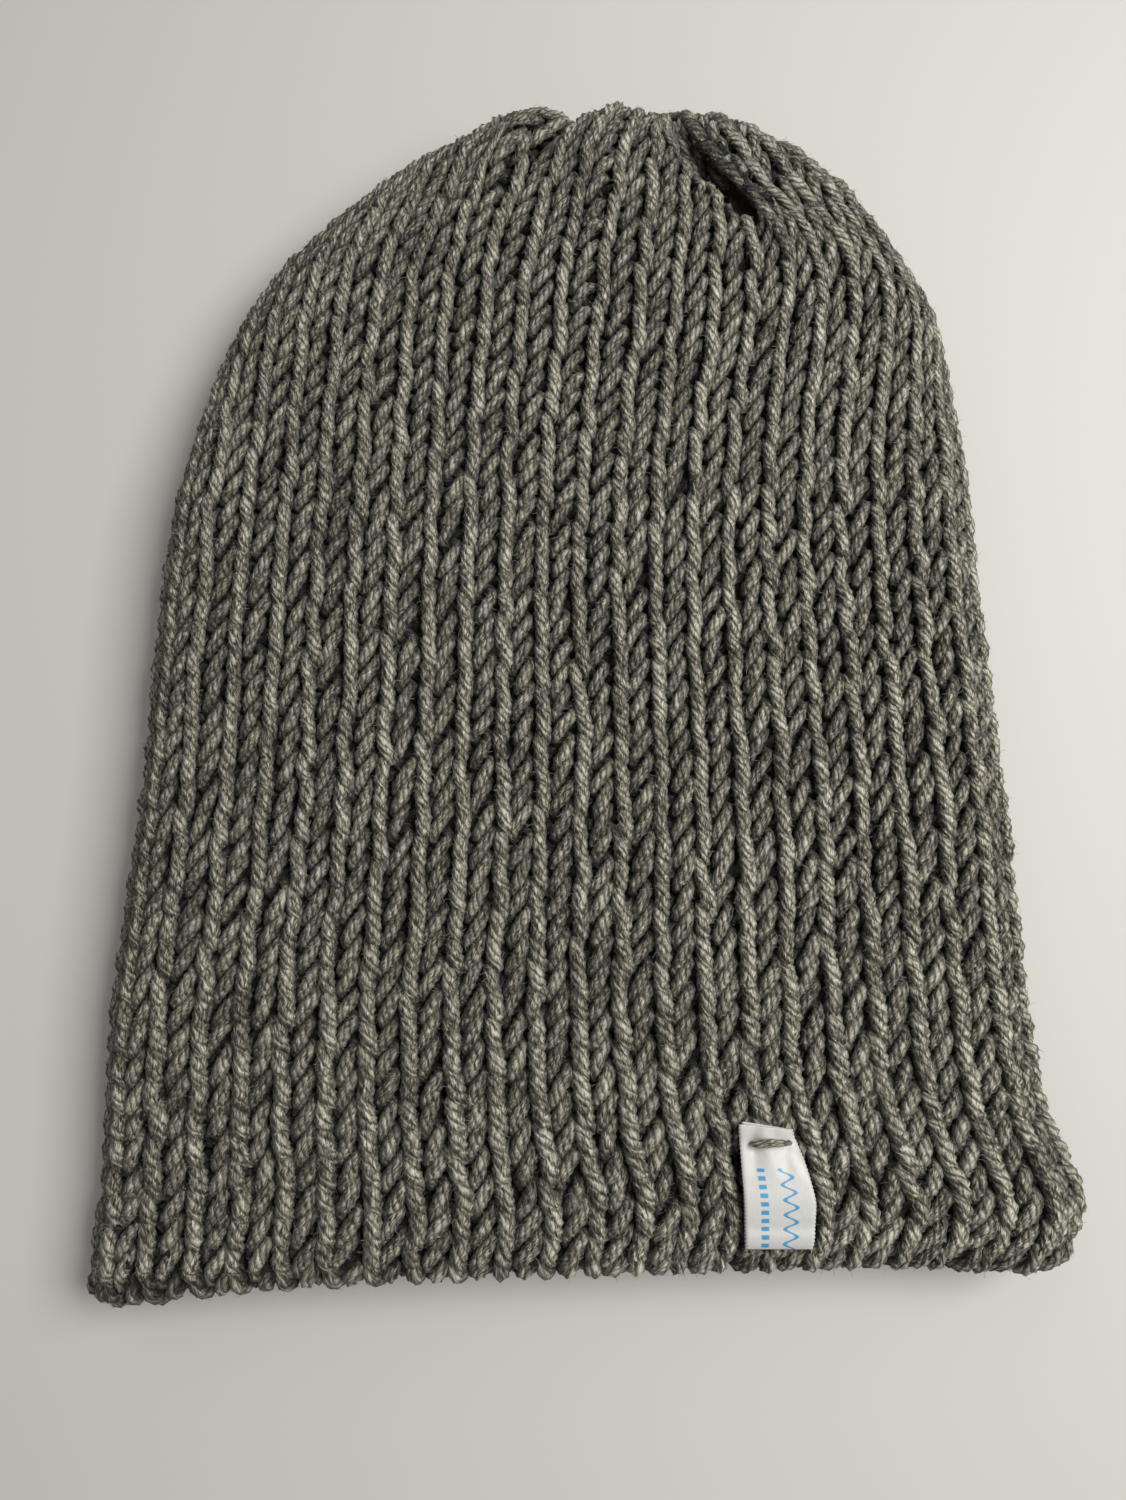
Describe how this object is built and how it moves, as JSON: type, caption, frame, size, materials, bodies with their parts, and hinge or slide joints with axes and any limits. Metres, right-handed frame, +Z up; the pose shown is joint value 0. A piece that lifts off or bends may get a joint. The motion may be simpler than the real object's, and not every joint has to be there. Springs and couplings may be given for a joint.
{
  "type": "knit hat",
  "caption": "Chunky double-layer knitted beanie with a folded rim, a gathered crown and a small ribbon label, lying flat on its back.",
  "frame": {"origin": "on the surface the hat lies on, under the middle of its bounding box", "axes": "+X to the right as the label side is seen with the rim towards the viewer, +Y from the rim to the crown, +Z up, away from the surface"},
  "size_m": [0.2114, 0.2732, 0.0277],
  "materials": {
    "knit": "grey melange chunky stockinette knit",
    "ribbon": "white satin ribbon",
    "yarn": "grey melange plied yarn"
  },
  "bodies": {
    "root": {"knit_shell": "knit", "label_ribbon": "ribbon", "label_stitch": "yarn"}
  },
  "joints": []
}
